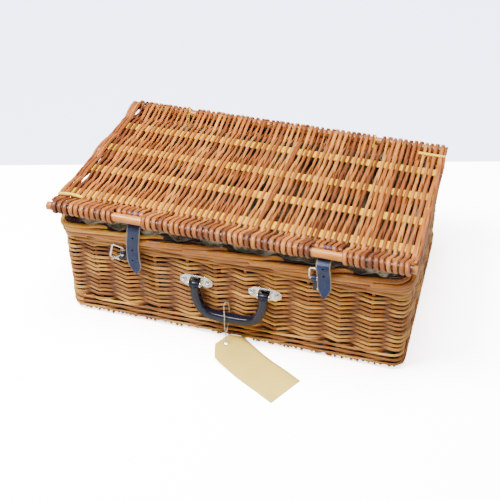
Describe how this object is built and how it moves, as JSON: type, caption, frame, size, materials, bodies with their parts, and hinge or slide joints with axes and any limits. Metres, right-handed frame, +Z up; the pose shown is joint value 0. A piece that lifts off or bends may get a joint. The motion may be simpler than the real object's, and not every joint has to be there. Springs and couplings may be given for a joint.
{
  "type": "wicker picnic hamper",
  "caption": "Lidded rectangular woven willow hamper with a front bail handle, buckled leather straps, a cloth liner and a blank card ticket.",
  "frame": {"origin": "middle of the underside of the base", "axes": "+X along the front towards the right end, +Y from the front to the hinge side, +Z up"},
  "size_m": [0.513, 0.4234, 0.203],
  "materials": {
    "wall_willow": "buff willow rods, satin",
    "lid_willow": "reddish-brown willow rods, satin varnish",
    "pale_willow": "peeled pale willow and laths, satin",
    "liner_cloth": "grey-green cotton, matte",
    "strap_leather": "blue leather, semi-gloss, raw cream edges",
    "tab_leather": "dark blue leather",
    "nickel": "bright nickel plate, lightly worn",
    "navy_plastic": "moulded plastic, glossy inside, matte outside",
    "card": "manila card, blank",
    "twine": "thin cotton string"
  },
  "bodies": {
    "basket": {"base_weave": "wall_willow", "base_stick_middle": "pale_willow", "base_stick_front": "pale_willow", "base_stick_back": "pale_willow", "front_wall_weave": "wall_willow", "right_wall_weave": "wall_willow", "back_wall_weave": "wall_willow", "left_wall_weave": "wall_willow", "front_stakes": "pale_willow", "right_stakes": "pale_willow", "back_stakes": "pale_willow", "left_stakes": "pale_willow", "back_right_corner": "wall_willow", "back_left_corner": "wall_willow", "front_left_corner": "wall_willow", "front_right_corner": "wall_willow", "foot_wale": "wall_willow", "top_wale": "wall_willow", "border": "wall_willow", "hinge_ring_left": "pale_willow", "hinge_ring_right": "pale_willow", "liner": "liner_cloth", "liner_roll": "liner_cloth", "left_tab": "tab_leather", "left_tab_rivet": "nickel", "right_tab": "tab_leather", "right_tab_rivet": "nickel", "left_handle_bracket": "nickel", "right_handle_bracket": "nickel", "left_handle_pin": "nickel", "right_handle_pin": "nickel", "handle_screw_1": "nickel", "handle_screw_2": "nickel", "handle_screw_3": "nickel", "handle_screw_4": "nickel", "handle_backing": "nickel"},
    "lid": {"lid_weave": "lid_willow", "lid_front_stick": "pale_willow", "lid_back_stick": "pale_willow", "lid_slat_1": "pale_willow", "lid_slat_2": "pale_willow", "lid_slat_3": "pale_willow", "lid_slat_4": "pale_willow", "left_notch_rod": "lid_willow", "right_notch_rod": "lid_willow", "lid_left_edge": "lid_willow", "lid_right_edge": "lid_willow", "left_corner_peg": "pale_willow", "right_corner_peg": "pale_willow"},
    "left_strap": {"left_strap": "strap_leather", "left_strap_rivet": "nickel"},
    "right_strap": {"right_strap": "strap_leather", "right_strap_rivet": "nickel"},
    "handle": {"handle_grip": "navy_plastic"},
    "ticket": {"ticket": "card", "ticket_string": "twine"},
    "left_buckle": {"left_buckle": "nickel"},
    "left_prong": {"left_prong": "nickel"},
    "right_buckle": {"right_buckle": "nickel"},
    "right_prong": {"right_prong": "nickel"}
  },
  "joints": [
    {"name": "lid_hinge", "type": "hinge", "parent": "basket", "child": "lid", "pos_m": [0, 0.149, 0.176], "axis": [-1, 0, 0], "range_deg": [-1.4, 105]},
    {"name": "left_strap_swing", "type": "hinge", "parent": "lid", "child": "left_strap", "pos_m": [0, -0.15085, 0.19329], "axis": [-1, 0, 0], "range_deg": [-53.5, 1]},
    {"name": "right_strap_swing", "type": "hinge", "parent": "lid", "child": "right_strap", "pos_m": [0, -0.15085, 0.19329], "axis": [-1, 0, 0], "range_deg": [-53.5, 1]},
    {"name": "handle_swing", "type": "hinge", "parent": "basket", "child": "handle", "pos_m": [0.0015, -0.16, 0.097], "axis": [-1, 0, 0], "range_deg": [0, 120]},
    {"name": "ticket_hang", "type": "hinge", "parent": "handle", "child": "ticket", "pos_m": [0.0015, -0.1615, 0.047], "axis": [-1, 0, 0], "range_deg": [-120, 0]},
    {"name": "left_buckle_swing", "type": "hinge", "parent": "basket", "child": "left_buckle", "pos_m": [-0.15546, -0.1577, 0.12535], "axis": [0.2419, 0, 0.9703], "range_deg": [0, 50]},
    {"name": "left_prong_swing", "type": "hinge", "parent": "left_buckle", "child": "left_prong", "pos_m": [-0.15546, -0.1577, 0.12535], "axis": [0.2419, 0, 0.9703], "range_deg": [-50, 30]},
    {"name": "right_buckle_swing", "type": "hinge", "parent": "basket", "child": "right_buckle", "pos_m": [0.1275, -0.167, 0.154], "axis": [1, 0, 0], "range_deg": [0, 4]},
    {"name": "right_prong_swing", "type": "hinge", "parent": "right_buckle", "child": "right_prong", "pos_m": [0.1275, -0.167, 0.154], "axis": [1, 0, 0], "range_deg": [0, 2]}
  ],
  "couplings": [
    {"joint": "left_strap_swing", "follows": "lid_hinge", "ratio": -0.5},
    {"joint": "right_strap_swing", "follows": "lid_hinge", "ratio": -0.5},
    {"joint": "ticket_hang", "follows": "handle_swing", "ratio": -1}
  ]
}
